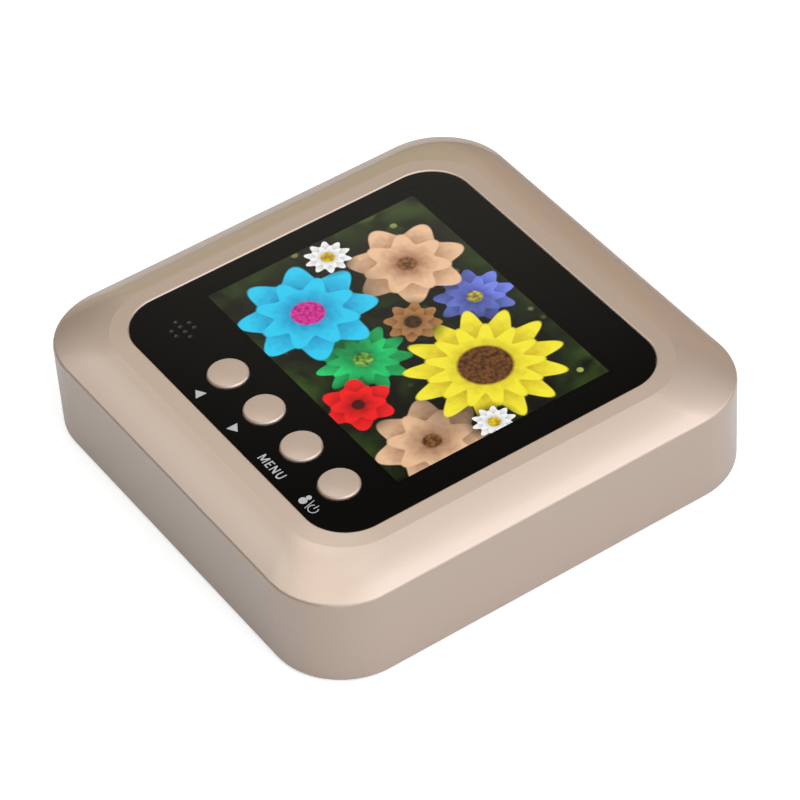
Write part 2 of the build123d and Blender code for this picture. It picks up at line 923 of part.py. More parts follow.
def battery_lid():
    """Battery lid with a round pivot edge, two hinge tabs, a latch tongue and grip grooves."""
    height = lid_head - hinge_y
    plate = block(lid_width, height, 0, lid_thickness, 0, hinge_y + height / 2)
    plate = fillet(plate.edges().filter_by(Axis.Z).group_by(Axis.Y)[-1], lid_corner_radius)
    plate += Pos(0, hinge_y, hinge_z) * (Rot(0, 90, 0) * Cylinder(lid_thickness / 2, lid_width))
    hook_low = lid_thickness + tab_hook_rise
    hook_top = hook_low + tab_hook_thickness
    leg_foot = pocket_foot + tab_gap
    for side in (-1, 1):
        x = side * tab_spacing / 2
        plate += block(tab_width, tab_leg, lid_thickness, hook_top, x, leg_foot + tab_leg / 2)
        plate += block(tab_width, tab_hook, hook_low, hook_top, x, leg_foot - tab_hook / 2)
    tongue_y = pocket_head - lid_gap - latch_thickness / 2
    tongue_top = lid_thickness + latch_height
    plate += block(latch_width, latch_thickness, lid_thickness, tongue_top, 0, tongue_y)
    for k in range(grip_count):
        y = lid_head - grip_inset - k * grip_pitch
        plate -= extrude(Pos(0, y, 0) * SlotOverall(grip_length, grip_width), grip_depth)
    return plate


def cell_direction(k):
    """Which way the positive end of a cell points: neighbours lie head to tail."""
    return 1 if k % 2 == 0 else -1


def battery_cell(k):
    """One round cell with its positive nub, lying along X."""
    radius = cell_diameter / 2
    can = disc(radius, 0, cell_length - nub_height)
    can = fillet(can.faces().sort_by(Axis.Z)[-1].edges(), cell_round)
    can += disc(nub_diameter / 2, cell_length - nub_height, cell_length)
    start = spring_space - pocket_width / 2
    way = cell_direction(k)
    return Pos(way * start, cell_ys[k], cell_axis) * (Rot(0, way * 90, 0) * can)


def battery_contacts():
    """Six flat contacts at the end walls of the pocket, two for each cell."""
    plates = []
    for y in cell_ys:
        for side in (-1, 1):
            x = side * (pocket_width - contact_thickness) / 2
            low = cell_axis - contact_size / 2
            plates.append(block(contact_thickness, contact_size, low, low + contact_size, x, y))
    return group(plates)


def battery_springs():
    """Three conical coil springs between the contacts and the flat ends of the cells."""
    springs = []
    height = spring_space - contact_thickness - spring_wire - spring_gap
    coil_radius = (spring_diameter - spring_wire) / 2
    path = Helix(height / spring_turns, height, coil_radius, cone_angle=-spring_taper_angle)
    wire = sweep(Plane(path @ 0, z_dir=path % 0) * Circle(spring_wire / 2), path=path)
    for k in range(cell_count):
        way = cell_direction(k)
        start = contact_thickness + spring_wire / 2 - pocket_width / 2
        springs.append(Pos(way * start, cell_ys[k], cell_axis) * (Rot(0, way * 90, 0) * wire))
    return group(springs)


def camera_board():
    """Small board that carries the image sensor, fixed on the two posts."""
    board = slab(
        camera_board_width,
        camera_board_height,
        chip_corner_radius,
        camera_board_bottom,
        camera_board_top,
        0,
        recess_y,
    )
    for hole in camera_posts(
        small_screw_diameter / 2 + screw_gap, camera_board_bottom, camera_board_top
    ):
        board -= hole
    return board


def image_sensor():
    """Image sensor chip inside the lens holder."""
    low = camera_board_bottom - sensor_thickness
    return block(sensor_size, sensor_size, low, camera_board_bottom, 0, recess_y)


def lens_holder():
    """Square moulded holder that the lens barrel screws into."""
    case = slab(
        holder_size,
        holder_size,
        holder_wall,
        holder_bottom,
        camera_board_bottom,
        0,
        recess_y,
    )
    room = holder_size - 2 * holder_wall
    case -= block(room, room, barrel_top, camera_board_bottom, 0, recess_y)
    return case - disc(barrel_diameter / 2 + barrel_gap, holder_bottom, barrel_top, 0, recess_y)


def infrared_filter():
    """Small glass plate that rests on the inner end of the lens barrel."""
    return block(filter_size, filter_size, barrel_top, barrel_top + filter_thickness, 0, recess_y)


def lens_barrel():
    """Lens barrel with a wider front rim, seen through the opening in the recess."""
    rim_top = lens_level + barrel_flange_height
    barrel = disc(barrel_flange_diameter / 2, lens_level, rim_top, 0, recess_y)
    barrel += disc(barrel_diameter / 2, rim_top, barrel_top, 0, recess_y)
    return barrel - disc(barrel_bore_diameter / 2, lens_level, barrel_top, 0, recess_y)


def camera_lens():
    """Front lens with a bulging outer face."""
    radius = barrel_bore_diameter / 2
    low = lens_level + lens_seat
    ball_radius = (lens_bulge**2 + radius**2) / (2 * lens_bulge)
    ball = Pos(0, recess_y, low + ball_radius) * Sphere(ball_radius)
    return ball & disc(radius, low, low + lens_thickness, 0, recess_y)


def camera_connector():
    """Flat-cable connector of the camera on the back of the board."""
    foot = recess_y + camera_board_height / 2 + camera_connector_gap
    return block(
        camera_connector_width,
        camera_connector_depth,
        board_bottom - connector_height,
        board_bottom,
        0,
        foot + camera_connector_depth / 2,
    )


def camera_flex():
    """Short flat cable from the camera board to its connector."""
    edge = recess_y + camera_board_height / 2
    length = camera_flex_reach + camera_connector_gap
    return block(
        camera_flex_width,
        length,
        camera_board_top,
        camera_board_top + flex_thickness,
        0,
        edge - camera_flex_reach + length / 2,
    )


def screw(diameter, length, head_diameter, head_height):
    """Pan-head screw pointing up, with a cross recess, its head's bearing face at zero."""
    head = disc(head_diameter / 2, -head_height, 0)
    head = fillet(head.faces().sort_by(Axis.Z)[0].edges(), head_height / 3)
    for turn in (0, 90):
        bar = block(head_diameter * 2 / 3, cross_width, -head_height, cross_depth - head_height)
        head -= Rot(0, 0, turn) * bar
    return head + disc(diameter / 2, 0, length)


def housing_screws():
    """Four screws that hold the rear cover to the front housing."""
    one = screw(
        housing_screw_diameter, housing_screw_length, housing_head_diameter, housing_head_height
    )
    return group(
        Pos(side_x * housing_boss_x, side_y * housing_boss_y, cover_thickness) * one
        for side_x, side_y in corners
    )


def small_screw():
    """Screw of the main board and the camera board."""
    return screw(small_screw_diameter, small_screw_length, small_head_diameter, small_head_height)


def board_screws():
    """Four screws that hold the main board to the front housing."""
    return group(Pos(x, y, board_bottom) * small_screw() for x, y in board_bosses)


def camera_screws():
    """Two screws that hold the camera board on its posts."""
    return group(
        Pos(side * camera_post_spacing / 2, recess_y, camera_board_top)
        * (Rot(180, 0, 0) * small_screw())
        for side in (-1, 1)
    )


pieces = {
    "front_housing": front_housing(),
    "rear_housing": rear_housing(),
    "front_panel": front_panel(),
    "panel_mask": panel_mask(),
    "panel_tape": panel_tape(),
    "lcd_gasket": lcd_gasket(),
    "lcd_frame": lcd_frame(),
    "lcd_backlight": lcd_backlight(),
    "lcd_glass": lcd_glass(),
    "display_driver": display_driver(),
    "lcd_flex": lcd_flex(),
    "display_connector": display_connector(),
    "main_board": main_board(),
    "processor_chip": chip(
        processor_size, processor_size, processor_height, board_place(processor_shares)
    ),
    "memory_chip": chip(memory_width, memory_length, memory_height, memory_place()),
    "clock_crystal": chip(
        crystal_length, crystal_width, crystal_height, board_place(crystal_shares)
    ),
    "power_inductor": power_inductor(),
    "capacitors": capacitors(),
    "passives": passives(),
    "card_socket": card_socket(),
    "memory_card": memory_card(),
    "switch_bodies": switch_bodies(),
    "speaker_gasket": speaker_gasket(),
    "speaker_body": speaker_body(),
    "speaker_cone": speaker_cone(),
    "battery_lid": battery_lid(),
    "battery_contacts": battery_contacts(),
    "battery_springs": battery_springs(),
    "camera_board": camera_board(),
    "image_sensor": image_sensor(),
    "lens_holder": lens_holder(),
    "infrared_filter": infrared_filter(),
    "lens_barrel": lens_barrel(),
    "camera_lens": camera_lens(),
    "camera_connector": camera_connector(),
    "camera_flex": camera_flex(),
    "housing_screws": housing_screws(),
    "board_screws": board_screws(),
    "camera_screws": camera_screws(),
}
for name, x in zip(key_names, button_xs):
    pieces[name + "_button"] = button(x)
    pieces[name + "_plunger"] = plunger(x)
for k in range(cell_count):
    pieces["battery_cell_" + str(k + 1)] = battery_cell(k)

os.makedirs("parts", exist_ok=True)
for name, shape in pieces.items():
    export_step(shape, "parts/" + name + ".step")
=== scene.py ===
import math

import bmesh
import bpy
from mathutils import Matrix, Vector


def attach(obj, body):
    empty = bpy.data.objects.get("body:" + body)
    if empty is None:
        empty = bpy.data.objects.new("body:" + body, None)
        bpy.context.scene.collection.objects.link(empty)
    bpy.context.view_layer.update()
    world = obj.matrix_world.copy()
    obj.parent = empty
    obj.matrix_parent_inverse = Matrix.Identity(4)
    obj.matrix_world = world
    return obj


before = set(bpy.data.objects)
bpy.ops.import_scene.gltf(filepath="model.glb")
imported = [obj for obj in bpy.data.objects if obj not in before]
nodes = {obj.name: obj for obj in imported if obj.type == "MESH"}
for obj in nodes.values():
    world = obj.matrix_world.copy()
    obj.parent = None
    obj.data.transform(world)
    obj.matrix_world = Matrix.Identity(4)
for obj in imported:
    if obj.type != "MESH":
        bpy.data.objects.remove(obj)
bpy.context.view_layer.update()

# Viewing camera. It looks down on the unit from its lower right corner, from about half a metre
# away with a long lens, as the photograph does.
camera_place = Vector((0.34402, -0.21411, 0.38934))
camera_look = Vector((-0.61623, 0.38528, -0.68689)).normalized()
camera_up = Vector((-0.54341, 0.42329, 0.72493))
camera_side = camera_look.cross(camera_up).normalized()
camera_up = camera_side.cross(camera_look)
camera_data = bpy.data.cameras.new("camera")
camera_data.lens = 171.9
camera_data.sensor_width = 36.0
camera = bpy.data.objects.new("camera", camera_data)
bpy.context.scene.collection.objects.link(camera)
camera_axes = Matrix((camera_side, camera_up, -camera_look)).transposed()
camera.matrix_world = Matrix.Translation(camera_place) @ camera_axes.to_4x4()
bpy.context.scene.camera = camera


# Front housing and keys. Injection-moulded ABS, sprayed with a champagne pearl paint under a
# clear coat. The pigment flakes shine softly, and the smooth coat gives sharper reflections on
# top. The flakes are a few hundredths of a millimetre, drawn larger so that they show.
mm = 0.001


def linear(colour):
    """Linear red, green, blue and alpha of an sRGB hex colour."""
    parts = [int(colour[k : k + 2], 16) / 255 for k in (1, 3, 5)]
    return [c / 12.92 if c <= 0.04045 else ((c + 0.055) / 1.055) ** 2.4 for c in parts] + [1.0]


def add(tree, kind, inputs, **settings):
    """A node of that kind with its settings, and its inputs set to values or linked."""
    node = tree.nodes.new(kind)
    for name, value in settings.items():
        setattr(node, name, value)
    for name, value in inputs.items():
        if isinstance(value, bpy.types.NodeSocket):
            tree.links.new(value, node.inputs[name])
        else:
            node.inputs[name].default_value = value
    return node


def new_material(name):
    """An empty material, its node tree and its coordinates on the object."""
    material = bpy.data.materials.new(name)
    material.use_nodes = True
    tree = material.node_tree
    tree.nodes.clear()
    place = add(tree, "ShaderNodeTexCoord", {}).outputs["Object"]
    return material, tree, place


def finish(name, dark, light, grain, relief, surface):
    """A finish mottled in two tones at the size of its grain, with that relief on it."""
    material, tree, place = new_material(name)
    mottle = add(
        tree, "ShaderNodeTexNoise", {"Vector": place, "Scale": 1 / grain, "Detail": 2.0}
    ).outputs["Fac"]
    tones = {0: mottle, 6: linear(dark), 7: linear(light)}
    height = {"Height": mottle, "Distance": relief}
    values = {
        "Base Color": add(tree, "ShaderNodeMix", tones, data_type="RGBA").outputs[2],
        "Normal": add(tree, "ShaderNodeBump", height).outputs["Normal"],
        **surface,
    }
    skin = add(tree, "ShaderNodeBsdfPrincipled", values)
    add(tree, "ShaderNodeOutputMaterial", {"Surface": skin.outputs[0]})
    return material


def dress(material, *names):
    """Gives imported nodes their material."""
    for name in names:
        slots = nodes[name].data.materials
        slots.clear()
        slots.append(material)


champagne_paint = finish(
    "sprayed_champagne_pearl",
    "#C5AE9C",
    "#CFB8A6",
    0.25 * mm,
    0.0008 * mm,
    {"Metallic": 0.5, "Roughness": 0.4, "Coat Weight": 1.0, "Coat Roughness": 0.05},
)
dress(champagne_paint, "front_housing")
key_names = ("left", "right", "menu", "power")
dress(champagne_paint, *[name + "_button" for name in key_names])


# Front panel. Clear cast acrylic, polished, and printed black behind except at the window, with
# matt drilled holes. Where a look through its face can only meet the print, the face itself is
# drawn black and glossy: that starts past the window's edge, as far out as a slanting look goes.
face_level = 17.8 * mm
print_level = 17.0 * mm
print_margin = 0.05 * mm
window_middle = (-0.71 * mm, 3.19 * mm)
window_size = (48.96 * mm, 36.72 * mm)
face_fade = (0.5 * mm, 1.3 * mm)
print_fade = (0.0, 0.01 * mm)
hole_x, hole_y = -20.91 * mm, -22.11 * mm
holes_reach = 3.3 * mm
steepest_face = 0.5
acrylic, tree, place = new_material("cast_acrylic")
geometry = add(tree, "ShaderNodeNewGeometry", {})
true_normal = geometry.outputs["True Normal"]
upright = add(tree, "ShaderNodeSeparateXYZ", {0: true_normal}).outputs["Z"]
level = add(tree, "ShaderNodeMath", {0: upright}, operation="ABSOLUTE").outputs[0]
cut = add(tree, "ShaderNodeMath", {0: level, 1: steepest_face}, operation="LESS_THAN").outputs[0]
spot = add(tree, "ShaderNodeSeparateXYZ", {0: place})
openings = []
for start, end in (face_fade, print_fade):
    shares = []
    for way, middle, size in zip(("X", "Y"), window_middle, window_size):
        off = add(
            tree, "ShaderNodeMath", {0: spot.outputs[way], 1: middle}, operation="SUBTRACT"
        ).outputs[0]
        aside = add(tree, "ShaderNodeMath", {0: off}, operation="ABSOLUTE").outputs[0]
        reach = {"Value": aside, "From Min": size / 2 + end, "From Max": size / 2 + start}
        shares.append(add(tree, "ShaderNodeMapRange", reach).outputs[0])
    openings.append(
        add(tree, "ShaderNodeMath", {0: shares[0], 1: shares[1]}, operation="MULTIPLY").outputs[0]
    )
behind = add(
    tree,
    "ShaderNodeMath",
    {0: spot.outputs["Z"], 1: print_level + print_margin},
    operation="LESS_THAN",
).outputs[0]
clear = add(tree, "ShaderNodeMix", {0: behind, 2: openings[0], 3: openings[1]}).outputs[0]
to_holes = add(
    tree,
    "ShaderNodeVectorMath",
    {0: place, 1: (hole_x, hole_y, face_level)},
    operation="DISTANCE",
).outputs["Value"]
drilled = add(
    tree, "ShaderNodeMath", {0: to_holes, 1: holes_reach}, operation="LESS_THAN"
).outputs[0]
polished = add(
    tree,
    "ShaderNodeBsdfPrincipled",
    {
        "Base Color": linear("#FFFFFF"),
        "Roughness": 0.02,
        "IOR": 1.49,
        "Transmission Weight": 1.0,
        "Normal": true_normal,
    },
)
backed = add(
    tree,
    "ShaderNodeBsdfPrincipled",
    {"Base Color": linear("#020202"), "Roughness": 0.02, "IOR": 1.49, "Normal": true_normal},
)
ink = add(tree, "ShaderNodeBsdfDiffuse", {"Color": linear("#060606"), "Normal": true_normal})
tones = {0: drilled, 6: linear("#0C0C0C"), 7: linear("#7C7C80")}
milled = add(
    tree,
    "ShaderNodeBsdfPrincipled",
    {
        "Base Color": add(tree, "ShaderNodeMix", tones, data_type="RGBA").outputs[2],
        "Roughness": 0.6,
        "IOR": 1.49,
        "Transmission Weight": 0.3,
    },
)
black = add(tree, "ShaderNodeMixShader", {0: behind, 1: backed.outputs[0], 2: ink.outputs[0]})
faces = add(tree, "ShaderNodeMixShader", {0: clear, 1: black.outputs[0], 2: polished.outputs[0]})
both = add(tree, "ShaderNodeMixShader", {0: cut, 1: faces.outputs[0], 2: milled.outputs[0]})
add(tree, "ShaderNodeOutputMaterial", {"Surface": both.outputs[0]})
dress(acrylic, "front_panel")


# Black print behind the acrylic. Two passes of black screen ink on the back of the sheet: dense
# and dull, with the faint unevenness of the ink.
black_print = finish(
    "black_screen_ink",
    "#060606",
    "#070707",
    0.5 * mm,
    0.0,
    {"Roughness": 0.9, "Specular IOR Level": 0.0},
)
dress(black_print, "panel_mask")


# Printed legends. Pale grey ink, pad-printed on the face of the panel under the keys: two
# arrows, the word of the menu key, and a visitor sign, a stroke and the usual power sign.
ink_thickness = 0.02 * mm
grey_ink = finish("pale_grey_pad_ink", "#A9A9AA", "#B9B9BA", 0.2 * mm, 0.0, {"Roughness": 0.6})


def arc(x, y, radius, start, end, steps):
    """Points along part of a circle, between two angles in degrees."""
    angles = [math.radians(start + (end - start) * k / steps) for k in range(steps + 1)]
    return [(x + radius * math.cos(a), y + radius * math.sin(a)) for a in angles]


def print_legend(name, body, outlines):
    """A thin layer of ink on the face of the panel, with these outlines in millimetres."""
    form = bmesh.new()
    for outline in outlines:
        low, high = (
            [form.verts.new((x * mm, y * mm, face_level + rise)) for x, y in outline]
            for rise in (0.0, ink_thickness)
        )
        form.faces.new(reversed(low))
        form.faces.new(high)
        for k in range(len(outline)):
            form.faces.new((low[k - 1], low[k], high[k], high[k - 1]))
    mesh = bpy.data.meshes.new(name)
    form.to_mesh(mesh)
    form.free()
    legend = bpy.data.objects.new(name, mesh)
    bpy.context.scene.collection.objects.link(legend)
    mesh.materials.append(grey_ink)
    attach(legend, body)


print_legend("left_arrow", "housing", [[(-8.97, -27.6), (-7.42, -28.53), (-7.42, -26.66)]])
print_legend("right_arrow", "housing", [[(1.98, -27.53), (0.44, -26.6), (0.44, -28.46)]])

# The menu word's letters are plain bold strokes. Each is drawn in a cell of 1 by 1 and has a left
# edge and a width in millimetres.
letters = (
    (
        8.08,
        1.36,
        [
            (0, 0), (0.15, 0), (0.15, 0.68), (0.43, 0.12), (0.57, 0.12), (0.85, 0.68), (0.85, 0),
            (1, 0), (1, 1), (0.81, 1), (0.5, 0.36), (0.19, 1), (0, 1),
        ],
    ),
    (
        9.84,
        0.78,
        [
            (0, 0), (1, 0), (1, 0.14), (0.25, 0.14), (0.25, 0.44), (0.9, 0.44), (0.9, 0.58),
            (0.25, 0.58), (0.25, 0.86), (1, 0.86), (1, 1), (0, 1),
        ],
    ),
    (
        11.02,
        1.06,
        [
            (0, 0), (0.18, 0), (0.18, 0.7), (0.78, 0), (1, 0), (1, 1), (0.82, 1), (0.82, 0.3),
            (0.22, 1), (0, 1),
        ],
    ),
    (
        12.5,
        1.04,
        [(0, 1), *arc(0.5, 0.42, 0.5, 180, 360, 14), (1, 1), (0.81, 1)]
        + [*arc(0.5, 0.42, 0.31, 360, 180, 14), (0.19, 1)],
    ),
)
letter_foot = -28.26
letter_height = 1.42
print_legend(
    "menu_word",
    "housing",
    [
        [(left + x * width, letter_foot + y * letter_height) for x, y in outline]
        for left, width, outline in letters
    ],
)
print_legend(
    "visitor_sign",
    "housing",
    [
        arc(19.05, -26.86, 0.43, -120, 239, 20),
        arc(19.03, -27.84, 0.64, -120, 239, 28),
    ],
)
print_legend(
    "stroke_sign", "housing", [[(19.88, -26.55), (20.01, -26.55), (20.47, -28.5), (20.34, -28.5)]]
)
print_legend(
    "power_sign",
    "housing",
    [
        [*arc(21.25, -27.62, 0.82, 130, 410, 24), *arc(21.25, -27.62, 0.67, 410, 130, 24)],
        [(21.18, -27.55), (21.32, -27.55), (21.32, -26.64), (21.18, -26.64)],
    ],
)


# Dust mesh. A disc of fine grey woven polyester, glued to the web behind the sound holes, which
# keeps dirt out of the loudspeaker. Its threads are drawn 0.3 mm apart, coarser than they are,
# so that they show.
cloth_radius = 3.1 * mm
cloth_low, cloth_high = 16.81 * mm, 16.86 * mm
thread_pitch = 0.3 * mm
thread_height = 0.02 * mm
form = bmesh.new()
bmesh.ops.create_cone(
    form,
    cap_ends=True,
    segments=48,
    radius1=cloth_radius,
    radius2=cloth_radius,
    depth=cloth_high - cloth_low,
    matrix=Matrix.Translation((hole_x, hole_y, (cloth_low + cloth_high) / 2)),
)
mesh = bpy.data.meshes.new("dust_mesh")
form.to_mesh(mesh)
form.free()
dust_mesh = bpy.data.objects.new("dust_mesh", mesh)
bpy.context.scene.collection.objects.link(dust_mesh)
cloth, tree, place = new_material("woven_polyester_mesh")
waves = [
    add(
        tree,
        "ShaderNodeTexWave",
        {"Vector": place, "Scale": math.pi / 10 / thread_pitch},
        bands_direction=way,
    ).outputs["Fac"]
    for way in ("X", "Y")
]
weave = add(tree, "ShaderNodeMath", {0: waves[0], 1: waves[1]}, operation="MULTIPLY").outputs[0]
tones = {0: weave, 6: linear("#2A2A2B"), 7: linear("#6A6A6C")}
height = {"Height": weave, "Distance": thread_height}
values = {
    "Base Color": add(tree, "ShaderNodeMix", tones, data_type="RGBA").outputs[2],
    "Roughness": 0.8,
    "Normal": add(tree, "ShaderNodeBump", height).outputs["Normal"],
}
skin = add(tree, "ShaderNodeBsdfPrincipled", values)
add(tree, "ShaderNodeOutputMaterial", {"Surface": skin.outputs[0]})
mesh.materials.append(cloth)
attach(dust_mesh, "housing")


# Tape and foam. White acrylic-foam tape holds the panel on the web; black closed-cell foam
# seals the display and the loudspeaker against it. The cells of both are about 0.2 mm.
tape = finish("acrylic_foam_tape", "#C9C8C2", "#DEDDD8", 0.2 * mm, 0.02 * mm, {"Roughness": 0.8})
foam = finish("closed_cell_foam", "#0E0E0E", "#232323", 0.2 * mm, 0.05 * mm, {"Roughness": 0.95})
dress(tape, "panel_tape")
dress(foam, "lcd_gasket", "speaker_gasket")


# Display tray, loudspeaker basket and card socket. Bright cold-rolled steel sheet, pressed to
# shape: a grey metal with the fine grain of the rolls.
steel_sheet = finish(
    "pressed_steel_sheet",
    "#A9A8A4",
    "#C6C5C1",
    0.1 * mm,
    0.002 * mm,
    {"Metallic": 1.0, "Roughness": 0.32},
)
dress(steel_sheet, "lcd_frame", "speaker_body", "card_socket")

# Light guide. Milky moulded acrylic, laid in the tray under the glass, where it spreads the
# light of the lamps evenly.
milky_acrylic = finish(
    "milky_moulded_acrylic",
    "#DDE1E4",
    "#EEF1F3",
    0.6 * mm,
    0.0,
    {"Roughness": 0.4, "Subsurface Weight": 0.3, "Subsurface Scale": 1.0 * mm},
)
dress(milky_acrylic, "lcd_backlight")

# Driver, chips, sensor and memory card. Black epoxy, moulded round the silicon: matt, with a
# fine grain. The small parts beside them are fired brown ceramic.
epoxy = finish("moulded_epoxy", "#0C0C0D", "#1A1A1B", 0.15 * mm, 0.01 * mm, {"Roughness": 0.6})
dress(epoxy, "display_driver", "processor_chip", "memory_chip", "image_sensor", "memory_card")
ceramic = finish("fired_ceramic", "#6B5A48", "#857058", 0.2 * mm, 0.01 * mm, {"Roughness": 0.5})
dress(ceramic, "passives")


# Display glass with its lit picture: a bunch of garden flowers in front of dark leaves, with
# spots of sun between them, made here from plain shapes. Places and sizes in it are shares of
# the picture's height. The glass is dark outside the picture and on its edges.
least_top = 0.9
glass, tree, place = new_material("lit_display_glass")
low_corner = [middle - size / 2 for middle, size in zip(window_middle, window_size)]
spot = add(
    tree,
    "ShaderNodeMapping",
    {
        "Vector": place,
        "Location": (*low_corner, 0.0),
        "Scale": (window_size[1], window_size[1], 1.0),
    },
    vector_type="TEXTURE",
).outputs[0]
cloud = add(
    tree, "ShaderNodeTexNoise", {"Vector": spot, "Scale": 5.0, "Detail": 4.0, "Distortion": 0.6}
).outputs["Fac"]
deep = add(
    tree, "ShaderNodeMapRange", {"Value": cloud, "From Min": 0.4, "From Max": 0.72}
).outputs[0]
tones = {0: deep, 6: linear("#030502"), 7: linear("#3F5A1E")}
picture = add(tree, "ShaderNodeMix", tones, data_type="RGBA").outputs[2]
for scale, reach, light in ((7.0, 0.3, "#5F7F2A"), (13.0, 0.22, "#C8D27A")):
    sun = add(tree, "ShaderNodeTexVoronoi", {"Vector": spot, "Scale": scale})
    round_spot = add(
        tree,
        "ShaderNodeMapRange",
        {"Value": sun.outputs["Distance"], "From Min": reach, "From Max": reach - 0.05},
    ).outputs[0]
    chance = add(tree, "ShaderNodeSeparateXYZ", {0: sun.outputs["Color"]}).outputs["X"]
    chosen = add(
        tree, "ShaderNodeMapRange", {"Value": chance, "From Min": 0.55, "From Max": 1.0}
    ).outputs[0]
    dapple = add(
        tree, "ShaderNodeMath", {0: round_spot, 1: chosen}, operation="MULTIPLY"
    ).outputs[0]
    picture = add(
        tree, "ShaderNodeMix", {0: dapple, 6: picture, 7: linear(light)}, data_type="RGBA"
    ).outputs[2]
streak = add(
    tree, "ShaderNodeTexNoise", {"Vector": spot, "Scale": 38.0, "Detail": 3.0}
).outputs["Fac"]
seeds = add(tree, "ShaderNodeTexVoronoi", {"Vector": spot, "Scale": 60.0}).outputs["Distance"]


def paint_bloom(below, middle, reach, turn, petals, dark, light, heart_dark, heart_light, heart):
    """The picture with one more flower on it: a shadow, two rings of petals and a heart."""
    within = add(
        tree,
        "ShaderNodeMapping",
        {
            "Vector": spot,
            "Location": (*middle, 0.0),
            "Rotation": (0.0, 0.0, turn),
            "Scale": (reach, reach, 1.0),
        },
        vector_type="TEXTURE",
    ).outputs[0]
    far = add(tree, "ShaderNodeVectorMath", {0: within}, operation="LENGTH").outputs["Value"]
    shadow = add(
        tree, "ShaderNodeMapRange", {"Value": far, "From Min": 1.3, "From Max": 0.8, "To Max": 0.8}
    ).outputs[0]
    picture = add(
        tree, "ShaderNodeMix", {0: shadow, 6: below, 7: linear("#020302")}, data_type="RGBA"
    ).outputs[2]
    way = add(
        tree, "ShaderNodeTexGradient", {"Vector": within}, gradient_type="RADIAL"
    ).outputs["Fac"]
    around = add(
        tree, "ShaderNodeMath", {0: way, 1: 2 * math.pi * petals}, operation="MULTIPLY"
    ).outputs[0]
    wave = add(tree, "ShaderNodeMath", {0: around}, operation="COSINE").outputs[0]
    for tip, depth, lift in ((0.86, 0.14, 0.0), (0.62, -0.12, 0.18)):
        rim = add(
            tree, "ShaderNodeMath", {0: wave, 1: depth, 2: tip}, operation="MULTIPLY_ADD"
        ).outputs[0]
        inward = add(tree, "ShaderNodeMath", {0: rim, 1: far}, operation="SUBTRACT").outputs[0]
        inside = add(
            tree, "ShaderNodeMapRange", {"Value": inward, "From Min": 0.0, "From Max": 0.035}
        ).outputs[0]
        fold = add(
            tree,
            "ShaderNodeMapRange",
            {
                "Value": inward,
                "From Min": 0.0,
                "From Max": 0.55,
                "To Min": 0.85 + lift,
                "To Max": 0.0,
            },
        ).outputs[0]
        crease = add(
            tree, "ShaderNodeMath", {0: wave, 1: 1.6 * depth, 2: fold}, operation="MULTIPLY_ADD"
        ).outputs[0]
        shade = add(
            tree, "ShaderNodeMath", {0: streak, 1: 0.5, 2: crease}, operation="MULTIPLY_ADD"
        ).outputs[0]
        share = add(
            tree, "ShaderNodeMapRange", {"Value": shade, "From Min": 0.2, "From Max": 1.1}
        ).outputs[0]
        tones = {0: share, 6: linear(dark), 7: linear(light)}
        petal = add(tree, "ShaderNodeMix", tones, data_type="RGBA").outputs[2]
        picture = add(
            tree, "ShaderNodeMix", {0: inside, 6: picture, 7: petal}, data_type="RGBA"
        ).outputs[2]
    inside = add(
        tree,
        "ShaderNodeMapRange",
        {"Value": far, "From Min": heart + 0.02, "From Max": heart - 0.02},
    ).outputs[0]
    tones = {0: seeds, 6: linear(heart_light), 7: linear(heart_dark)}
    grains = add(tree, "ShaderNodeMix", tones, data_type="RGBA").outputs[2]
    return add(
        tree, "ShaderNodeMix", {0: inside, 6: picture, 7: grains}, data_type="RGBA"
    ).outputs[2]


for bloom in (
    ((0.63, 0.86), 0.17, 0.3, 9, "#1C2A7A", "#7C8CF0", "#3A2A10", "#F0E060", 0.2),
    ((0.3, 0.76), 0.25, 0.0, 7, "#8A5230", "#F4C8A0", "#3E2010", "#B07848", 0.16),
    ((1.2, 0.25), 0.24, 0.5, 7, "#7A4A2C", "#EFC39C", "#2E1A0C", "#A06A40", 0.16),
    ((0.66, 0.3), 0.2, 0.2, 11, "#025A2C", "#22DC78", "#0A2A10", "#9CE05A", 0.2),
    ((0.98, 0.66), 0.33, 0.1, 13, "#B88A00", "#FFF23A", "#20120A", "#8A5428", 0.34),
    ((0.3, 0.28), 0.29, 0.4, 8, "#0064A8", "#2CD2FA", "#7A0450", "#FF3CB4", 0.24),
    ((0.86, 0.14), 0.15, 0.6, 6, "#8A0004", "#FA1C20", "#200404", "#601008", 0.18),
    ((0.07, 0.53), 0.1, 0.2, 10, "#A8A49C", "#FFFFFF", "#A07808", "#FFE030", 0.3),
    ((1.26, 0.5), 0.09, 0.7, 10, "#A8A49C", "#FFFFFF", "#A07808", "#FFE030", 0.3),
    ((0.6, 0.58), 0.12, 0.9, 8, "#4A2A14", "#B07C4C", "#1A0E06", "#5A3818", 0.3),
):
    picture = paint_bloom(picture, *bloom)
glow = add(tree, "ShaderNodeEmission", {"Color": picture, "Strength": 1.0})
edge = add(
    tree, "ShaderNodeBsdfPrincipled", {"Base Color": linear("#101414"), "Roughness": 0.08}
)
facing = add(tree, "ShaderNodeNewGeometry", {}).outputs["Normal"]
upright = add(tree, "ShaderNodeSeparateXYZ", {0: facing}).outputs["Z"]
on_top = add(
    tree, "ShaderNodeMath", {0: upright, 1: least_top}, operation="GREATER_THAN"
).outputs[0]
both = add(tree, "ShaderNodeMixShader", {0: on_top, 1: edge.outputs[0], 2: glow.outputs[0]})
add(tree, "ShaderNodeOutputMaterial", {"Surface": both.outputs[0]})
dress(glass, "lcd_glass")


# Flat cables. Copper tracks laminated between two amber polyimide films: glossy, with darker
# lines along the cable where the copper shows through.
track_pitch = 0.5 * mm


